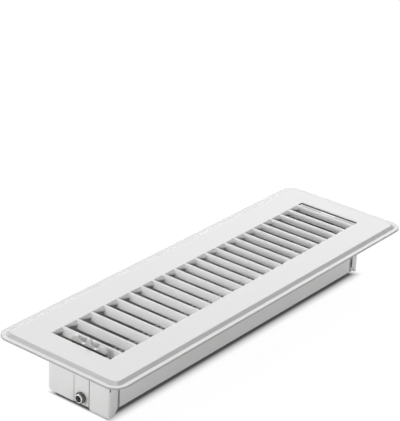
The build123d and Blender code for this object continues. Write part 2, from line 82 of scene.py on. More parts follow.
class EnamelSettings(bpy.types.PropertyGroup):
    """Colours and surface of the baked white enamel, and the shade painted on it"""

    face_colour: bpy.props.FloatVectorProperty(
        name="Face colour",
        description="Enamel on the face plate and the lever",
        subtype="COLOR",
        size=3,
        min=0.0,
        max=1.0,
        default=(0.86, 0.86, 0.855),
    )
    box_colour: bpy.props.FloatVectorProperty(
        name="Box colour",
        description="Enamel on the duct box",
        subtype="COLOR",
        size=3,
        min=0.0,
        max=1.0,
        default=(0.86, 0.86, 0.855),
    )
    # Painted shade: the damper's enamel is darker than the face's, for the shade inside the box
    damper_shaded_colour: bpy.props.FloatVectorProperty(
        name="Damper shaded colour",
        description="Enamel on the damper inside the box, darker as painted shade",
        subtype="COLOR",
        size=3,
        min=0.0,
        max=1.0,
        default=(0.70, 0.70, 0.69),
    )
    # Dust in the inner corners, and painted shade where occlusion darkens them
    dust_and_shade_colour: bpy.props.FloatVectorProperty(
        name="Dust and shade colour",
        description="Dust and thin paint in the inner corners, and painted shade there",
        subtype="COLOR",
        size=3,
        min=0.0,
        max=1.0,
        default=(0.42, 0.41, 0.39),
    )
    # Painted shade: near black inside the duct box, under the last lip and on the lever below the face
    inside_shade_colour: bpy.props.FloatVectorProperty(
        name="Inside shade colour",
        description="Painted shade inside the duct box and below the face",
        subtype="COLOR",
        size=3,
        min=0.0,
        max=1.0,
        default=(0.10, 0.10, 0.098),
    )
    # Painted shade: the lever's flat sides darker than its edges
    lever_side_shade_colour: bpy.props.FloatVectorProperty(
        name="Lever side shade colour",
        description="Painted shade on the lever's flat sides",
        subtype="COLOR",
        size=3,
        min=0.0,
        max=1.0,
        default=(0.66, 0.66, 0.655),
    )
    # Painted shade on the lever where it sinks below the face
    shade_depth: bpy.props.FloatProperty(
        name="Shade depth",
        description="How far below the face the lever is painted dark as shade",
        subtype="DISTANCE",
        unit="LENGTH",
        min=0.0,
        default=0.0013,
        precision=4,
    )
    # Painted shadow along the steps where the box's sheets lap over each other
    seam_shadow_colour: bpy.props.FloatVectorProperty(
        name="Seam shadow colour",
        description="Painted shadow along the seams between the sheets",
        subtype="COLOR",
        size=3,
        min=0.0,
        max=1.0,
        default=(0.06, 0.06, 0.058),
    )
    roughness: bpy.props.FloatProperty(
        name="Roughness",
        description="Mean roughness of the enamel",
        min=0.05,
        max=1.0,
        default=0.24,
    )
    # Painted shade on the face plate's drawn step and cut edge
    step_shade_share: bpy.props.FloatProperty(
        name="Step shade share",
        description="How bright the painted shade is on the face plate's drawn step",
        min=0.0,
        max=1.0,
        default=0.84,
    )
    edge_wear_and_shade_share: bpy.props.FloatProperty(
        name="Cut edge shade share",
        description="How bright the painted shade is on the face plate's cut edge",
        min=0.0,
        max=1.0,
        default=0.60,
    )
    edge_radius: bpy.props.FloatProperty(
        name="Edge radius",
        description="How far the enamel rounds the sheet's cut edges",
        subtype="DISTANCE",
        unit="LENGTH",
        min=0.0,
        default=0.00025,
        precision=5,
    )
    peel_size: bpy.props.FloatProperty(
        name="Orange peel size",
        description="Width of the dimples left by the spray",
        subtype="DISTANCE",
        unit="LENGTH",
        min=0.0001,
        default=0.0011,
        precision=5,
    )
    peel_depth: bpy.props.FloatProperty(
        name="Orange peel depth",
        description="Depth of the dimples left by the spray",
        subtype="DISTANCE",
        unit="LENGTH",
        min=0.0,
        default=0.000008,
        precision=6,
    )
    ripple_size: bpy.props.FloatProperty(
        name="Sheet ripple size",
        description="Width of the slow waves in thin sheet metal",
        subtype="DISTANCE",
        unit="LENGTH",
        min=0.001,
        default=0.045,
        precision=4,
    )
    ripple_depth: bpy.props.FloatProperty(
        name="Sheet ripple depth",
        description="Height of the slow waves in thin sheet metal",
        subtype="DISTANCE",
        unit="LENGTH",
        min=0.0,
        default=0.00022,
        precision=6,
    )


class SteelSettings(bpy.types.PropertyGroup):
    """Colours and surface of the zinc-plated steel"""

    colour: bpy.props.FloatVectorProperty(
        name="Steel colour",
        description="Zinc plating on the pins, the pivot and the tie bar",
        subtype="COLOR",
        size=3,
        min=0.0,
        max=1.0,
        default=(0.60, 0.60, 0.59),
    )
    black_colour: bpy.props.FloatVectorProperty(
        name="Blackened colour",
        description="Blackened spring steel of the retaining ring and the spring washer",
        subtype="COLOR",
        size=3,
        min=0.0,
        max=1.0,
        default=(0.13, 0.13, 0.13),
    )
    roughness: bpy.props.FloatProperty(
        name="Roughness",
        description="Mean roughness of the plating",
        min=0.05,
        max=1.0,
        default=0.34,
    )
    turning_pitch: bpy.props.FloatProperty(
        name="Turning mark pitch",
        description="Spacing of the fine marks left by turning",
        subtype="DISTANCE",
        unit="LENGTH",
        min=0.00002,
        default=0.00018,
        precision=6,
    )


class WeldSettings(bpy.types.PropertyGroup):
    """Spot welds along the box's flanges"""

    spot_radius: bpy.props.FloatProperty(
        name="Spot radius",
        description="Radius of one weld spot",
        subtype="DISTANCE",
        unit="LENGTH",
        min=0.0005,
        default=0.0019,
        precision=4,
    )
    spot_height: bpy.props.FloatProperty(
        name="Spot height",
        description="How far the ring round a weld spot stands up",
        subtype="DISTANCE",
        unit="LENGTH",
        min=0.0,
        default=0.00016,
        precision=5,
    )
    spots_per_flange: bpy.props.IntProperty(
        name="Spots per flange",
        description="Weld spots along each long flange",
        min=2,
        default=7,
    )
    end_margin: bpy.props.FloatProperty(
        name="End margin",
        description="From a flange's end to its first weld spot",
        subtype="DISTANCE",
        unit="LENGTH",
        min=0.0,
        default=0.014,
        precision=4,
    )


class StageSettings(bpy.types.PropertyGroup):
    """Floor, lights and camera"""

    floor_side: bpy.props.FloatProperty(
        name="Floor side",
        description="Length of one side of the square floor",
        subtype="DISTANCE",
        unit="LENGTH",
        min=1.0,
        default=9.0,
    )
    floor_shade: bpy.props.FloatVectorProperty(
        name="Floor shade",
        description="Share of the lamps' light seen on the floor, which sets how deep the shadow is",
        subtype="COLOR",
        size=3,
        min=0.0,
        max=1.0,
        default=(0.10, 0.10, 0.10),
    )
    floor_bounce: bpy.props.FloatVectorProperty(
        name="Floor bounce colour",
        description="The floor's colour in the light that it throws back on the register",
        subtype="COLOR",
        size=3,
        min=0.0,
        max=1.0,
        default=(0.92, 0.92, 0.92),
    )
    floor_glow: bpy.props.FloatProperty(
        name="Floor glow",
        description="White added to the floor as it is seen",
        min=0.0,
        default=0.96,
    )
    # Painted shadow on the floor round the box, from here to the lit side share
    shadow_reach: bpy.props.FloatProperty(
        name="Shadow reach",
        description="How far out from the box the floor is fully light again",
        subtype="DISTANCE",
        unit="LENGTH",
        min=0.001,
        default=0.0058,
        precision=4,
    )
    shadow_core: bpy.props.FloatProperty(
        name="Shadow core",
        description="How far in under the box the floor turns fully dark",
        subtype="DISTANCE",
        unit="LENGTH",
        min=0.0,
        default=0.0032,
        precision=4,
    )
    shadow_curve: bpy.props.FloatProperty(
        name="Shadow curve",
        description="Above one, the shadow's core stays narrow and its rim faint",
        min=0.05,
        max=5.0,
        default=2.0,
    )
    left_widening: bpy.props.FloatProperty(
        name="Left widening",
        description="How much further out the shadow runs beside the left wall, behind the near corner",
        subtype="DISTANCE",
        unit="LENGTH",
        min=0.0,
        default=0.006,
        precision=4,
    )
    contact_width: bpy.props.FloatProperty(
        name="Contact width",
        description="How far the dark line along the foot of the near end runs out",
        subtype="DISTANCE",
        unit="LENGTH",
        min=0.0,
        default=0.0008,
        precision=4,
    )
    lit_side_share: bpy.props.FloatProperty(
        name="Lit side share",
        description="How much shorter the shadow falls before the near end, which the low lamps meet",
        min=1.0,
        default=3.5,
    )
    behind_strength: bpy.props.FloatProperty(
        name="Light from behind",
        description="Strength of the soft light from above and behind",
        min=0.0,
        default=1.55,
    )
    left_strength: bpy.props.FloatProperty(
        name="Left light",
        description="Strength of the low soft light from the left",
        min=0.0,
        default=2.0,
    )
    front_strength: bpy.props.FloatProperty(
        name="Front light",
        description="Strength of the low soft light from beside the camera",
        min=0.0,
        default=0.45,
    )
    right_strength: bpy.props.FloatProperty(
        name="Right light",
        description="Strength of the low soft light from the right",
        min=0.0,
        default=0.62,
    )
    top_strength: bpy.props.FloatProperty(
        name="Top light",
        description="Strength of the small light straight above",
        min=0.0,
        default=0.3,
    )
    world_strength: bpy.props.FloatProperty(
        name="Room light",
        description="Strength of the even light of the room",
        min=0.0,
        default=0.09,
    )
    camera_place: bpy.props.FloatVectorProperty(
        name="Camera place",
        description="Where the camera stands",
        subtype="TRANSLATION",
        unit="LENGTH",
        size=3,
        default=(-0.7637, -0.5760, 0.5293),
    )
    camera_aim: bpy.props.FloatVectorProperty(
        name="Camera aim",
        description="The point that the camera looks at",
        subtype="TRANSLATION",
        unit="LENGTH",
        size=3,
        default=(0.0698, 0.06734, 0.0375),
    )
    camera_roll: bpy.props.FloatProperty(
        name="Camera roll",
        description="How far the camera leans about its own axis",
        subtype="ANGLE",
        unit="ROTATION",
        default=math.radians(2.708),
    )
    camera_lens: bpy.props.FloatProperty(
        name="Camera lens",
        description="Focal length in millimetres",
        min=10.0,
        default=146.75,
    )


def new_group(name, inputs, outputs):
    """Make an empty shader node group with named inputs and outputs."""
    group = bpy.data.node_groups.new(name, "ShaderNodeTree")
    for label, kind, value in inputs:
        socket = group.interface.new_socket(label, in_out="INPUT", socket_type=kind)
        socket.default_value = value
    for label, kind in outputs:
        group.interface.new_socket(label, in_out="OUTPUT", socket_type=kind)
    start = group.nodes.new("NodeGroupInput")
    end = group.nodes.new("NodeGroupOutput")
    return group, start, end


def fill_inputs(tree, sockets, values):
    """Link each input to another socket, or set it to a plain value."""
    for socket, value in zip(sockets, values):
        if isinstance(value, bpy.types.NodeSocket):
            tree.links.new(value, socket)
        else:
            socket.default_value = value


def math_node(tree, operation, *values, clamp=False):
    """Add a Math node whose inputs are sockets or plain numbers, and give its output."""
    node = tree.nodes.new("ShaderNodeMath")
    node.operation = operation
    node.use_clamp = clamp
    fill_inputs(tree, node.inputs, values)
    return node.outputs[0]


def vector_node(tree, operation, *values):
    """Add a Vector Math node whose inputs are sockets or plain vectors."""
    node = tree.nodes.new("ShaderNodeVectorMath")
    node.operation = operation
    fill_inputs(tree, node.inputs, values)
    return node


def map_range(tree, value, from_min, from_max, to_min, to_max):
    """Carry a value from one span over to another, held at both ends."""
    node = tree.nodes.new("ShaderNodeMapRange")
    labels = ("Value", "From Min", "From Max", "To Min", "To Max")
    sockets = [node.inputs[label] for label in labels]
    fill_inputs(tree, sockets, (value, from_min, from_max, to_min, to_max))
    return node.outputs["Result"]


def noise_node(tree, vector, scale, detail, roughness=0.5):
    """Add a Noise Texture on a vector and give its value."""
    node = tree.nodes.new("ShaderNodeTexNoise")
    sockets = [node.inputs[label] for label in ("Vector", "Scale", "Detail", "Roughness")]
    fill_inputs(tree, sockets, (vector, scale, detail, roughness))
    return node.outputs["Fac"]


def swing_round(tree, noise, middle, spread):
    """Turn noise, which lies round one half, into a value that swings round a middle."""
    return math_node(tree, "MULTIPLY_ADD", noise, spread, middle - spread / 2)


def object_place(tree):
    """Add Texture Coordinate and give its Object output."""
    return tree.nodes.new("ShaderNodeTexCoord").outputs["Object"]


def split_axes(tree, vector):
    """Split a vector into outputs named X, Y and Z."""
    node = tree.nodes.new("ShaderNodeSeparateXYZ")
    tree.links.new(vector, node.inputs["Vector"])
    return node.outputs


def near(tree, value, target, half_width):
    """Mask of the places where a value lies within half a width of a target."""
    apart = math_node(tree, "ABSOLUTE", math_node(tree, "SUBTRACT", value, target))
    return math_node(tree, "LESS_THAN", apart, half_width)


def nearly_one(tree, value, steepness):
    """Mask that is 1 where a value is 1 and falls to 0 just below it."""
    return math_node(tree, "MULTIPLY_ADD", value, steepness, 1.0 - steepness, clamp=True)


def flatness(tree, radius, samples):
    """Add a value that is 1 on flat places and drops within a radius of an edge."""
    bevel = tree.nodes.new("ShaderNodeBevel")
    bevel.samples = samples
    tree.links.new(radius, bevel.inputs["Radius"])
    geometry = tree.nodes.new("ShaderNodeNewGeometry")
    dot = vector_node(tree, "DOT_PRODUCT", bevel.outputs["Normal"], geometry.outputs["Normal"])
    return dot.outputs["Value"]


def give_mask(group, start, end, *masks):
    """Multiply masks by the group's amount and send the product to its Mask output."""
    product = start.outputs["Amount"]
    for mask in masks:
        product = math_node(group, "MULTIPLY", product, mask, clamp=True)
    group.links.new(product, end.inputs["Mask"])


def spray_group():
    """Orange peel and slow sheet ripple as one height in metres."""
    inputs = (
        ("Peel size", "NodeSocketFloat", 0.001),
        ("Peel depth", "NodeSocketFloat", 0.00001),
        ("Ripple size", "NodeSocketFloat", 0.05),
        ("Ripple depth", "NodeSocketFloat", 0.0002),
    )
    group, start, end = new_group("sprayed_sheet", inputs, (("Height", "NodeSocketFloat"),))
    place = object_place(group)
    heights = []
    for label, detail in (("Peel", 1.5), ("Ripple", 0.0)):
        scale = math_node(group, "DIVIDE", 1.0, start.outputs[label + " size"])
        waves = noise_node(group, place, scale, detail)
        heights.append(math_node(group, "MULTIPLY", waves, start.outputs[label + " depth"]))
    group.links.new(math_node(group, "ADD", *heights), end.inputs["Height"])
    return group


def edge_group():
    """Mask of the cut edges, where the enamel draws thin, broken up along their length."""
    inputs = (
        ("Radius", "NodeSocketFloat", 0.0005),
        ("Sharpness", "NodeSocketFloat", 5.0),
        ("Patch scale", "NodeSocketFloat", 130.0),
        ("Patch contrast", "NodeSocketFloat", 1.4),
        ("Patch shift", "NodeSocketFloat", -0.25),
        ("Amount", "NodeSocketFloat", 0.5),
    )
    group, start, end = new_group("thin_edges", inputs, (("Mask", "NodeSocketFloat"),))
    given = start.outputs
    flat = flatness(group, given["Radius"], samples=4)
    bend = math_node(group, "SUBTRACT", 1.0, flat)
    sharp = math_node(group, "MULTIPLY", bend, given["Sharpness"], clamp=True)
    patches = noise_node(group, object_place(group), given["Patch scale"], detail=3.0)
    contrast, shift = given["Patch contrast"], given["Patch shift"]
    patchy = math_node(group, "MULTIPLY_ADD", patches, contrast, shift, clamp=True)
    give_mask(group, start, end, sharp, patchy)
    return group


def dust_and_shade_group():
    """Mask of dust and dull paint in inner corners, found by occlusion, so that it also paints shade
    there.
    """
    inputs = (
        ("Reach", "NodeSocketFloat", 0.004),
        ("Falloff", "NodeSocketFloat", 1.6),
        ("Patch scale", "NodeSocketFloat", 260.0),
        ("Patch shift", "NodeSocketFloat", 0.35),
        ("Amount", "NodeSocketFloat", 0.3),
    )
    group, start, end = new_group("corner_dust_and_shade", inputs, (("Mask", "NodeSocketFloat"),))
    given = start.outputs
    shade = group.nodes.new("ShaderNodeAmbientOcclusion")
    shade.samples = 6
    group.links.new(given["Reach"], shade.inputs["Distance"])
    closed = math_node(group, "SUBTRACT", 1.0, shade.outputs["AO"])
    deep = math_node(group, "POWER", closed, given["Falloff"])
    place = object_place(group)
    patches = noise_node(group, place, given["Patch scale"], detail=4.0, roughness=0.6)
    patchy = math_node(group, "ADD", patches, given["Patch shift"])
    give_mask(group, start, end, deep, patchy)
    return group


def shade_space_group():
    """Mask of a space given by two of its corners, which is painted dark as shade."""
    inputs = (
        ("Low", "NodeSocketVector", (0.0, 0.0, 0.0)),
        ("High", "NodeSocketVector", (0.0, 0.0, 0.0)),
        ("Amount", "NodeSocketFloat", 1.0),
    )
    group, start, end = new_group("painted_shade_space", inputs, (("Mask", "NodeSocketFloat"),))
    place = object_place(group)
    above = vector_node(group, "SUBTRACT", place, start.outputs["Low"])
    below = vector_node(group, "SUBTRACT", start.outputs["High"], place)
    within = []
    for side in (above, below):
        axes = split_axes(group, side.outputs["Vector"])
        within += [math_node(group, "GREATER_THAN", axes[axis], 0.0) for axis in "XYZ"]
    give_mask(group, start, end, *within)
    return group


def seam_shadow_group():
    """Mask of the painted shadow lines along the edges of the box's sheets, at both its ends."""
    inputs = (
        ("Middle", "NodeSocketFloat", 0.0),
        ("Seam", "NodeSocketFloat", -0.0082),
        ("Lap edge", "NodeSocketFloat", -0.1194),
        ("End face", "NodeSocketFloat", 0.1250),
        ("Wall face", "NodeSocketFloat", 0.0239),
        ("Width", "NodeSocketFloat", 0.0012),
        ("Patch scale", "NodeSocketFloat", 180.0),
        ("Patch shift", "NodeSocketFloat", 0.45),
        ("Amount", "NodeSocketFloat", 0.8),
    )
    group, start, end = new_group("seam_shadow_line", inputs, (("Mask", "NodeSocketFloat"),))
    given = start.outputs
    place = object_place(group)
    axes = split_axes(group, place)
    from_middle = math_node(group, "SUBTRACT", axes["X"], given["Middle"])
    # The far end is the near end turned half round, so both axes take the near end's sign
    turn = math_node(group, "MULTIPLY", math_node(group, "SIGN", from_middle), -1.0)
    along = math_node(group, "MULTIPLY", from_middle, turn)
    across = math_node(group, "MULTIPLY", axes["Y"], turn)
    half = math_node(group, "MULTIPLY", given["Width"], 0.5)
    past_end = math_node(group, "ADD", along, given["End face"])
    on_end = math_node(group, "LESS_THAN", past_end, 0.0)
    seam_shadow_line = near(group, across, given["Seam"], half)
    on_seam = math_node(group, "MULTIPLY", seam_shadow_line, on_end)
    out_from_middle = math_node(group, "ABSOLUTE", across)
    past_wall = math_node(group, "SUBTRACT", out_from_middle, given["Wall face"])
    on_wall = math_node(group, "GREATER_THAN", past_wall, 0.0)
    lap_line = near(group, along, given["Lap edge"], given["Width"])
    on_lap = math_node(group, "MULTIPLY", lap_line, on_wall)
    patches = noise_node(group, place, given["Patch scale"], detail=2.0)
    patchy = math_node(group, "ADD", patches, given["Patch shift"], clamp=True)
    give_mask(group, start, end, math_node(group, "MAXIMUM", on_seam, on_lap), patchy)
    return group


def plate_shade_group():
    """Masks of the face plate's cut edge and of its drawn step, which are painted darker as shade."""
    inputs = (
        ("Half size", "NodeSocketVector", (0.0, 0.0, 0.0)),
        ("Corner", "NodeSocketFloat", 0.0095),
        ("Edge width", "NodeSocketFloat", 0.0006),
        ("Step middle", "NodeSocketFloat", 0.0043),
        ("Step half width", "NodeSocketFloat", 0.0013),
    )
    outputs = (("Edge", "NodeSocketFloat"), ("Step", "NodeSocketFloat"))
    group, start, end = new_group("painted_shade_on_plate", inputs, outputs)
    given = start.outputs
    vector = object_place(group)
    for operation, *other in (
        ("ABSOLUTE",),
        ("SUBTRACT", given["Half size"]),
        ("ADD", given["Corner"]),
        ("MAXIMUM", (0.0, 0.0, 0.0)),
        ("MULTIPLY", (1.0, 1.0, 0.0)),
    ):
        vector = vector_node(group, operation, vector, *other).outputs["Vector"]
    size = vector_node(group, "LENGTH", vector).outputs["Value"]
    depth = math_node(group, "SUBTRACT", given["Corner"], size)
    edge = math_node(group, "LESS_THAN", depth, given["Edge width"])
    step = near(group, depth, given["Step middle"], given["Step half width"])
    group.links.new(edge, end.inputs["Edge"])
    group.links.new(step, end.inputs["Step"])
    return group


def cloud_group():
    """Slow uneven tone of a sprayed coat, as a value near one."""
    inputs = (
        ("Scale", "NodeSocketFloat", 22.0),
        ("Spread", "NodeSocketFloat", 0.02),
    )
    group, start, end = new_group("coat_tone", inputs, (("Tone", "NodeSocketFloat"),))
    cloud = noise_node(group, object_place(group), start.outputs["Scale"], detail=3.0)
    centred = math_node(group, "SUBTRACT", cloud, 0.5)
    swing = math_node(group, "MULTIPLY", centred, start.outputs["Spread"])
    group.links.new(math_node(group, "ADD", swing, 1.0), end.inputs["Tone"])
    return group


def below_group():
    """Mask of what lies below a height, with a short blend."""
    inputs = (
        ("Height", "NodeSocketFloat", 0.0),
        ("Blend", "NodeSocketFloat", 0.0003),
    )
    group, start, end = new_group("below_height", inputs, (("Mask", "NodeSocketFloat"),))
    axes = split_axes(group, object_place(group))
    under = math_node(group, "SUBTRACT", start.outputs["Height"], axes["Z"])
    share = math_node(group, "DIVIDE", under, start.outputs["Blend"])
    group.links.new(math_node(group, "ADD", share, 0.5, clamp=True), end.inputs["Mask"])
    return group


def lever_side_shade_group():
    """Mask of a sheet's flat sides that face along X, up to a band along their edges, for painted shade
    on these sides.
    """
    inputs = (
        ("Band", "NodeSocketFloat", 0.0012),
        ("Amount", "NodeSocketFloat", 1.0),
    )
    group, start, end = new_group("shaded_flat_sides", inputs, (("Mask", "NodeSocketFloat"),))
    geometry = group.nodes.new("ShaderNodeNewGeometry")
    axes = split_axes(group, geometry.outputs["Normal"])
    facing = math_node(group, "ABSOLUTE", axes["X"])
    flat = flatness(group, start.outputs["Band"], samples=12)
    side = nearly_one(group, facing, steepness=5.0)
    inner = nearly_one(group, flat, steepness=12.0)
    give_mask(group, start, end, side, inner)
    return group


def place_group(tree, name, maker, values):
    """Place a shader group, made once for all the materials, and set its inputs by name."""
    node = tree.nodes.new("ShaderNodeGroup")
    node.node_tree = bpy.data.node_groups.get(name) or maker()
    for label, value in values.items():
        node.inputs[label].default_value = value
    return node


def mix_colour(tree, factor, first, second):
    """Mix two colours, each a socket or a plain colour, by a mask and give the result."""
    node = tree.nodes.new("ShaderNodeMix")
    node.data_type = "RGBA"
    sockets = (node.inputs["Factor"], node.inputs[6], node.inputs[7])
    colours = [
        colour if isinstance(colour, bpy.types.NodeSocket) else (*colour, 1.0)
        for colour in (first, second)
    ]
    fill_inputs(tree, sockets, (factor, *colours))
    return node.outputs[2]


def tint(tree, colour, tone):
    """Multiply a colour by a value that changes over the surface."""
    node = vector_node(tree, "SCALE", tuple(colour))
    tree.links.new(tone, node.inputs["Scale"])
    return node.outputs["Vector"]


def shaded(colour, share):
    """A share of a plain colour."""
    return tuple(channel * share for channel in colour)


def empty_material(name):
    """Make a material that holds only its output, and give its tree and its Surface input."""
    material = bpy.data.materials.new(name)
    material.use_nodes = True
    tree = material.node_tree
    tree.nodes.clear()
    output = tree.nodes.new("ShaderNodeOutputMaterial")
    return material, tree, output.inputs["Surface"]


def round_and_bump(tree, shader, height, radius, strength, distance):
    """Round a shader's edges and raise its surface by a height."""
    bevel = tree.nodes.new("ShaderNodeBevel")
    bevel.samples = 6
    bevel.inputs["Radius"].default_value = radius
    bump = tree.nodes.new("ShaderNodeBump")
    bump.inputs["Strength"].default_value = strength
    bump.inputs["Distance"].default_value = distance
    tree.links.new(height, bump.inputs["Height"])
    tree.links.new(bevel.outputs["Normal"], bump.inputs["Normal"])
    tree.links.new(bump.outputs["Normal"], shader.inputs["Normal"])


def last_slit():
    """Corners of the space under the rolled lip in the last opening, which is painted dark as shade."""
    plate_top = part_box("face_plate")[1][2]
    far_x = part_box("far_end_outer_panel")[1][0]
    slit_width = 0.0066
    half_length = 0.0235
    beside_end = 0.0001
    under_top = 0.0003
    low = (far_x - slit_width, -half_length, 0.0)
    high = (far_x - beside_end, half_length, plate_top - under_top)
    return {"Low": low, "High": high}


def inside_of_box():
    """Corners of the space between the long walls' and the end walls' middles, up to the plate, which
    is painted dark as shade.
    """
    left_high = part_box("left_side_wall")[1]
    right_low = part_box("right_side_wall")[0]
    near_low, near_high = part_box("near_end_inner_panel")
    far_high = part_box("far_end_inner_panel")[1]
    into_end = 1.7 * SHEET
    into_wall = FLANGE + SHEET / 2
    under_floor = -0.001
    low = (near_low[0] + into_end, right_low[1] + into_wall, under_floor)
    high = (far_high[0] - into_end, left_high[1] - into_wall, near_high[2])
    return {"Low": low, "High": high}


def box_outline():
    """The duct box's outline on the floor: near and far X, and half its width."""
    near_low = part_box("near_end_outer_panel")[0]
    far_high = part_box("far_end_outer_panel")[1]
    return near_low[0], far_high[0], -near_low[1]


def seams_of_box():
    """Where the box's seams and lap edges lie, as named inputs of the seam shadow group."""
    near_x, far_x, half_y = box_outline()
    middle = (near_x + far_x) / 2
    seam_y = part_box("near_end_outer_panel")[1][1]
    lap_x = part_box("near_end_inner_panel")[1][0]
    beside_seam = 0.0004
    beside_lap = 0.0010
    into_end = 0.0015
    into_wall = 0.0008
    return {
        "Middle": middle,
        "Seam": seam_y + beside_seam,
        "Lap edge": lap_x - middle + beside_lap,
        "End face": middle - near_x - into_end,
        "Wall face": half_y - into_wall,
    }


def enamel_material(name, colour, settings, ripple_share, edge_wear_and_shade_share, dust_and_shade_share, layers=()):
    """White baked enamel on sheet metal, with layers of painted shade laid on by masks.

    Each layer holds a shader group's name, its maker, its inputs, and a colour for each mask.
    """
    material, tree, surface = empty_material(name)
    shader = tree.nodes.new("ShaderNodeBsdfPrincipled")
    tree.links.new(shader.outputs["BSDF"], surface)
    waves = {
        "Peel size": settings.peel_size,
        "Peel depth": settings.peel_depth,
        "Ripple size": settings.ripple_size,
        "Ripple depth": settings.ripple_depth * ripple_share,
    }
    spray = place_group(tree, "sprayed_sheet", spray_group, waves)
    edges = place_group(tree, "thin_edges", edge_group, {"Amount": edge_wear_and_shade_share})
    dust = place_group(tree, "corner_dust_and_shade", dust_and_shade_group, {"Amount": dust_and_shade_share})
    tone = place_group(tree, "coat_tone", cloud_group, {})
    coat = tint(tree, colour, tone.outputs["Tone"])
    thin_share = 0.82
    worn = mix_colour(tree, edges.outputs["Mask"], coat, shaded(colour, thin_share))
    # Dust in the inner corners, which also lays painted shade there
    finish = mix_colour(tree, dust.outputs["Mask"], worn, settings.dust_and_shade_colour)
    for group_name, maker, values, shades in layers:
        group = place_group(tree, group_name, maker, values)
        for mask, shade in shades.items():
            finish = mix_colour(tree, group.outputs[mask], finish, shade)
    # The base colour, with the layers' painted shade laid on
    tree.links.new(finish, shader.inputs["Base Color"])
    gloss = noise_node(tree, object_place(tree), scale=90.0, detail=2.0)
    rough = swing_round(tree, gloss, settings.roughness, spread=0.10)
    rough = math_node(tree, "ADD", rough, dust.outputs["Mask"], clamp=True)
    tree.links.new(rough, shader.inputs["Roughness"])
    shader.inputs["IOR"].default_value = 1.5
    shader.inputs["Specular IOR Level"].default_value = 0.5
    radius = settings.edge_radius
    round_and_bump(tree, shader, spray.outputs["Height"], radius, strength=1.0, distance=1.0)
    return material


def plated_material(name, colour, settings):
    """Plated steel with fine turning marks round the X axis."""
    material, tree, surface = empty_material(name)
    shader = tree.nodes.new("ShaderNodeBsdfPrincipled")
    tree.links.new(shader.outputs["BSDF"], surface)
    place = object_place(tree)
    along = split_axes(tree, place)["X"]
    turns = math_node(tree, "DIVIDE", along, settings.turning_pitch)
    rings = math_node(tree, "SINE", math_node(tree, "MULTIPLY", turns, 2 * math.pi))
    bloom = noise_node(tree, place, scale=420.0, detail=3.0)
    tone = swing_round(tree, bloom, middle=1.0, spread=0.24)
    tree.links.new(tint(tree, colour, tone), shader.inputs["Base Color"])
    shader.inputs["Metallic"].default_value = 1.0
    rough = swing_round(tree, bloom, settings.roughness, spread=0.22)
    tree.links.new(rough, shader.inputs["Roughness"])
    round_and_bump(tree, shader, rings, radius=0.0002, strength=0.35, distance=0.000004)
    return material


def dress(names, material):
    """Give CAD nodes a material in all their slots."""
    for name in names:
        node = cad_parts[name]
        if not node.material_slots:
            node.data.materials.append(material)
        for slot in node.material_slots:
            slot.material = material


class REGISTER_OT_enamel(bpy.types.Operator):
    """Finish the face plate, the box, the damper and the lever in white enamel, with painted shade"""

    bl_idname = "floor_register.enamel"
    bl_label = "Enamel the sheet metal"

    def execute(self, context):
        settings = context.scene.register_enamel
        face, box, damper = settings.face_colour, settings.box_colour, settings.damper_shaded_colour
        plate_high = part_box("face_plate")[1]
        # A layer is a shader group's name, its maker, its inputs and a colour for each mask
        # Painted shade, near black, under the last lip and inside the box
        dark = {"Mask": settings.inside_shade_colour}
        slit = ("painted_shade_space", shade_space_group, last_slit(), dark)
        # Painted shade on the face plate's drawn step and cut edge
        thin = {"Step": shaded(face, settings.step_shade_share), "Edge": shaded(face, settings.edge_wear_and_shade_share)}
        plate = ("painted_shade_on_plate", plate_shade_group, {"Half size": plate_high}, thin)
        space = inside_of_box()
        behind_walls = ("painted_shade_space", shade_space_group, {**space, "Amount": 0.6}, dark)
        behind_ends = ("painted_shade_space", shade_space_group, space, dark)
        # Painted shadow along the end sheets' seams and lap edges
        seams = ("seam_shadow_line", seam_shadow_group, seams_of_box(), {"Mask": settings.seam_shadow_colour})
        # Painted shade on the lever's flat sides
        sides = ("shaded_flat_sides", lever_side_shade_group, {}, {"Mask": settings.lever_side_shade_colour})
        # The lever is painted dark as shade below the face
        shade_line = {"Height": plate_high[2] - settings.shade_depth}
        sunk = ("below_height", below_group, shade_line, dark)
        # The dust share also sets the painted shade in the inner corners
        for nodes, name, colour, ripple, edges, dust, layers in (
            (ENAMELLED_FACE, "face_enamel", face, 0.35, 0.35, 0.35, (slit, plate)),
            (ENAMELLED_WALLS, "wall_enamel", box, 1.0, 0.5, 0.5, (behind_walls, seams)),
            (ENAMELLED_ENDS, "end_enamel", box, 1.0, 0.5, 0.5, (behind_ends, seams)),
            (ENAMELLED_LEVER, "lever_enamel", face, 0.0, 0.5, 0.6, (sides, sunk)),
            (ENAMELLED_DAMPER, "damper_enamel", damper, 0.6, 0.6, 0.6, ()),
        ):
            dress(nodes, enamel_material(name, colour, settings, ripple, edges, dust, layers))
        return {"FINISHED"}


class REGISTER_OT_plated_steel(bpy.types.Operator):
    """Finish the pins, the pivot and the tie bar in zinc-plated steel"""

    bl_idname = "floor_register.plated_steel"
    bl_label = "Plate the small steel pieces"

    def execute(self, context):
        settings = context.scene.register_steel
        dress(PLATED, plated_material("zinc_plating", settings.colour, settings))
        dress(BLACKENED, plated_material("blackened_steel", settings.black_colour, settings))
        return {"FINISHED"}


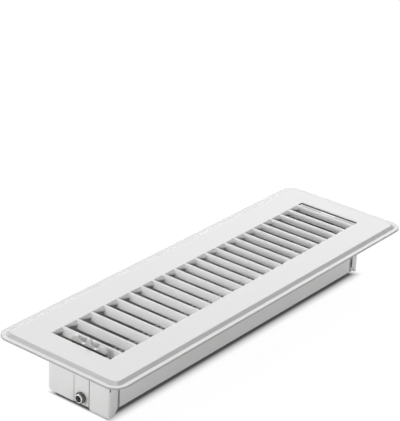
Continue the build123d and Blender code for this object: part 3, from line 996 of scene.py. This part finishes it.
def weld_spot_tree(material):
    """Geometry Nodes tree: weld spots in a row, each shown by the low ring round it."""
    tree = bpy.data.node_groups.new("weld_spot_row", "GeometryNodeTree")
    for label, kind in (
        ("Geometry", "NodeSocketGeometry"),
        ("Start", "NodeSocketVector"),
        ("End", "NodeSocketVector"),
        ("Count", "NodeSocketInt"),
        ("Radius", "NodeSocketFloat"),
        ("Height", "NodeSocketFloat"),
    ):
        tree.interface.new_socket(label, in_out="INPUT", socket_type=kind)
    tree.interface.new_socket("Geometry", in_out="OUTPUT", socket_type="NodeSocketGeometry")
    nodes = tree.nodes
    links = tree.links
    start = nodes.new("NodeGroupInput")
    end = nodes.new("NodeGroupOutput")
    row = nodes.new("GeometryNodeMeshLine")
    row.mode = "END_POINTS"
    links.new(start.outputs["Start"], row.inputs["Start Location"])
    links.new(start.outputs["End"], row.inputs["Offset"])
    links.new(start.outputs["Count"], row.inputs["Count"])
    circle = nodes.new("GeometryNodeCurvePrimitiveCircle")
    circle.inputs["Resolution"].default_value = 24
    links.new(start.outputs["Radius"], circle.inputs["Radius"])
    section = nodes.new("GeometryNodeCurvePrimitiveCircle")
    section.inputs["Resolution"].default_value = 8
    links.new(start.outputs["Height"], section.inputs["Radius"])
    ring = nodes.new("GeometryNodeCurveToMesh")
    ring.inputs["Fill Caps"].default_value = False
    links.new(circle.outputs["Curve"], ring.inputs["Curve"])
    links.new(section.outputs["Curve"], ring.inputs["Profile Curve"])
    place = nodes.new("GeometryNodeInstanceOnPoints")
    links.new(row.outputs["Mesh"], place.inputs["Points"])
    links.new(ring.outputs["Mesh"], place.inputs["Instance"])
    real = nodes.new("GeometryNodeRealizeInstances")
    links.new(place.outputs["Instances"], real.inputs["Geometry"])
    coat = nodes.new("GeometryNodeSetMaterial")
    coat.inputs["Material"].default_value = material
    links.new(real.outputs["Geometry"], coat.inputs["Geometry"])
    links.new(coat.outputs["Geometry"], end.inputs["Geometry"])
    return tree


def bake_tree(name, tree, values):
    """Run a Geometry Nodes tree with named inputs and keep its result as a plain mesh object."""
    carrier = bpy.data.objects.new(name + "_maker", bpy.data.meshes.new(name + "_maker"))
    bpy.context.scene.collection.objects.link(carrier)
    modifier = carrier.modifiers.new("tree", "NODES")
    modifier.node_group = tree
    for item in tree.interface.items_tree:
        if item.item_type == "SOCKET" and item.in_out == "INPUT" and item.name in values:
            modifier[item.identifier] = values[item.name]
    depsgraph = bpy.context.evaluated_depsgraph_get()
    mesh = bpy.data.meshes.new_from_object(carrier.evaluated_get(depsgraph), depsgraph=depsgraph)
    carrier.modifiers.remove(modifier)
    bpy.data.objects.remove(carrier)
    mesh.name = name
    result = bpy.data.objects.new(name, mesh)
    bpy.context.scene.collection.objects.link(result)
    return result


class REGISTER_OT_weld_spots(bpy.types.Operator):
    """Add the spot welds under the box's long flanges"""

    bl_idname = "floor_register.weld_spots"
    bl_label = "Add the weld spots"

    def execute(self, context):
        settings = context.scene.register_welds
        tree = weld_spot_tree(bpy.data.materials["wall_enamel"])
        in_from_edge = 0.0032
        for node in ENAMELLED_WALLS:
            low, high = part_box(node)
            outward = 1.0 if node.startswith("left") else -1.0
            edge_y = high[1] if outward > 0 else low[1]
            spot_y = edge_y - outward * in_from_edge
            flange_under = high[2] - SHEET
            values = {
                "Start": (low[0] + settings.end_margin, spot_y, flange_under),
                "End": (high[0] - settings.end_margin, spot_y, flange_under),
                "Count": settings.spots_per_flange,
                "Radius": settings.spot_radius,
                "Height": settings.spot_height,
            }
            piece = bake_tree(node + "_weld_spots", tree, values)
            for polygon in piece.data.polygons:
                polygon.use_smooth = True
            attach(piece, "register_body")
        return {"FINISHED"}


def seen_mask(tree):
    """Mask of the rays that show a surface directly or in a reflection."""
    path = tree.nodes.new("ShaderNodeLightPath")
    seen = math_node(tree, "MAXIMUM", path.outputs["Is Camera Ray"], path.outputs["Is Glossy Ray"])
    return math_node(tree, "MAXIMUM", seen, path.outputs["Is Transmission Ray"])


def open_floor(tree, settings):
    """Painted shadow round the duct box: a mask that is nearly 0 on the floor inside the box and 1 past
    the shadow's rim.
    """
    near_x, far_x, half_y = box_outline()
    ramp_start = 0.005
    ramp_end = 0.035
    corner_widening = -0.004
    inside_light = 0.03
    axes = split_axes(tree, object_place(tree))
    before = math_node(tree, "SUBTRACT", near_x - settings.contact_width, axes["X"])
    before = math_node(tree, "MULTIPLY", before, settings.lit_side_share)
    behind = math_node(tree, "SUBTRACT", axes["X"], far_x)
    along = math_node(tree, "MAXIMUM", before, behind)
    start_x, end_x = near_x + ramp_start, near_x + ramp_end
    widening = map_range(tree, axes["X"], start_x, end_x, corner_widening, settings.left_widening)
    left = math_node(tree, "SUBTRACT", axes["Y"], half_y)
    left = math_node(tree, "SUBTRACT", left, widening)
    right = math_node(tree, "SUBTRACT", -half_y, axes["Y"])
    beside = math_node(tree, "MAXIMUM", left, right)
    inner = math_node(tree, "MINIMUM", math_node(tree, "MAXIMUM", along, beside), 0.0)
    squares = []
    for distance in (along, beside):
        outward = math_node(tree, "MAXIMUM", distance, 0.0)
        squares.append(math_node(tree, "POWER", outward, 2.0))
    outer = math_node(tree, "SQRT", math_node(tree, "ADD", *squares))
    depth = math_node(tree, "ADD", inner, outer)
    core, reach = -settings.shadow_core, settings.shadow_reach
    opened = map_range(tree, depth, core, reach, inside_light, 1.0)
    closed = math_node(tree, "SUBTRACT", 1.0, opened)
    shade = math_node(tree, "POWER", closed, settings.shadow_curve)
    return math_node(tree, "SUBTRACT", 1.0, shade)


def floor_material(settings):
    """Pale floor that is seen white, keeps the register's shadow in its lit share, and has a painted
    shadow round the box.
    """
    material, tree, surface = empty_material("pale_floor")
    seen = seen_mask(tree)
    diffuse = tree.nodes.new("ShaderNodeBsdfDiffuse")
    shade = mix_colour(tree, seen, settings.floor_bounce, settings.floor_shade)
    tree.links.new(shade, diffuse.inputs["Color"])
    # The seen glow is dimmed by the painted shadow round the box
    seen_open = math_node(tree, "MULTIPLY", seen, open_floor(tree, settings))
    glow = tree.nodes.new("ShaderNodeEmission")
    strength = math_node(tree, "MULTIPLY", seen_open, settings.floor_glow)
    tree.links.new(strength, glow.inputs["Strength"])
    both = tree.nodes.new("ShaderNodeAddShader")
    fill_inputs(tree, both.inputs, (diffuse.outputs["BSDF"], glow.outputs["Emission"]))
    tree.links.new(both.outputs["Shader"], surface)
    return material


def white_room(strength):
    """World that is seen white and lights the register evenly at a low strength."""
    world = bpy.data.worlds.new("room")
    world.use_nodes = True
    tree = world.node_tree
    background = tree.nodes["Background"]
    background.inputs["Color"].default_value = (1.0, 1.0, 1.0, 1.0)
    tree.links.new(math_node(tree, "MAXIMUM", seen_mask(tree), strength), background.inputs["Strength"])
    return world


def add_soft_sun(name, strength, towards, spread):
    """Add a soft lamp whose light comes from the direction towards."""
    lamp = bpy.data.lights.new(name, "SUN")
    lamp.energy = strength
    lamp.angle = spread
    holder = bpy.data.objects.new(name, lamp)
    holder.rotation_euler = Vector(towards).to_track_quat("Z", "Y").to_euler()
    bpy.context.scene.collection.objects.link(holder)


def aim_camera(settings):
    """Add the camera at the photograph's viewing angle."""
    place = Vector(settings.camera_place)
    back = (place - Vector(settings.camera_aim)).normalized()
    right = Vector((0.0, 0.0, 1.0)).cross(back).normalized()
    up = back.cross(right)
    turn = settings.camera_roll
    leant_right = right * math.cos(turn) + up * math.sin(turn)
    leant_up = up * math.cos(turn) - right * math.sin(turn)
    data = bpy.data.cameras.new("camera")
    data.lens = settings.camera_lens
    data.sensor_width = 36.0
    data.clip_start = 0.01
    camera = bpy.data.objects.new("camera", data)
    turned = Matrix((leant_right, leant_up, back)).transposed().to_4x4()
    camera.matrix_world = Matrix.Translation(place) @ turned
    bpy.context.scene.collection.objects.link(camera)
    bpy.context.scene.camera = camera


class REGISTER_OT_stage(bpy.types.Operator):
    """Lay the pale floor and set the lights and the camera"""

    bl_idname = "floor_register.stage"
    bl_label = "Set the stage"

    def execute(self, context):
        settings = context.scene.register_stage
        half = settings.floor_side / 2
        mesh = bpy.data.meshes.new("floor")
        corners = [(-half, -half, 0.0), (half, -half, 0.0), (half, half, 0.0), (-half, half, 0.0)]
        mesh.from_pydata(corners, [], [(0, 1, 2, 3)])
        mesh.materials.append(floor_material(settings))
        floor = bpy.data.objects.new("floor", mesh)
        context.scene.collection.objects.link(floor)
        for name, strength, towards, degrees in (
            ("behind_light", settings.behind_strength, (1.0, 0.85, 1.0), 60),
            ("left_light", settings.left_strength, (-1.0, 0.9, 0.24), 50),
            ("front_light", settings.front_strength, (-0.88, -0.47, 0.12), 40),
            ("right_light", settings.right_strength, (-0.1, -1.0, 0.1), 20),
            ("top_light", settings.top_strength, (0.067, 0.053, 0.995), 12),
        ):
            add_soft_sun(name, strength, towards, math.radians(degrees))
        context.scene.world = white_room(settings.world_strength)
        aim_camera(settings)
        context.scene.view_settings.view_transform = "Standard"
        return {"FINISHED"}


class REGISTER_PT_panel(bpy.types.Panel):
    """Settings and steps of the floor register's finish"""

    bl_idname = "REGISTER_PT_panel"
    bl_label = "Floor register"
    bl_space_type = "VIEW_3D"
    bl_region_type = "UI"
    bl_category = "Register"

    def draw(self, context):
        for group, operator in (
            ("register_enamel", REGISTER_OT_enamel),
            ("register_steel", REGISTER_OT_plated_steel),
            ("register_welds", REGISTER_OT_weld_spots),
            ("register_stage", REGISTER_OT_stage),
        ):
            box = self.layout.box()
            settings = getattr(context.scene, group)
            for label in settings.__annotations__:
                box.prop(settings, label)
            box.operator(operator.bl_idname)


CLASSES = (
    EnamelSettings,
    SteelSettings,
    WeldSettings,
    StageSettings,
    REGISTER_OT_enamel,
    REGISTER_OT_plated_steel,
    REGISTER_OT_weld_spots,
    REGISTER_OT_stage,
    REGISTER_PT_panel,
)


def register():
    """Register the classes and their settings."""
    for entry in CLASSES:
        bpy.utils.register_class(entry)
    bpy.types.Scene.register_enamel = bpy.props.PointerProperty(type=EnamelSettings)
    bpy.types.Scene.register_steel = bpy.props.PointerProperty(type=SteelSettings)
    bpy.types.Scene.register_welds = bpy.props.PointerProperty(type=WeldSettings)
    bpy.types.Scene.register_stage = bpy.props.PointerProperty(type=StageSettings)


def unregister():
    """Remove the settings and the classes."""
    del bpy.types.Scene.register_stage
    del bpy.types.Scene.register_welds
    del bpy.types.Scene.register_steel
    del bpy.types.Scene.register_enamel
    for entry in reversed(CLASSES):
        bpy.utils.unregister_class(entry)


def main():
    """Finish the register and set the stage."""
    register()
    bpy.ops.floor_register.enamel()
    bpy.ops.floor_register.plated_steel()
    bpy.ops.floor_register.weld_spots()
    bpy.ops.floor_register.stage()


if __name__ == "__main__":
    main()
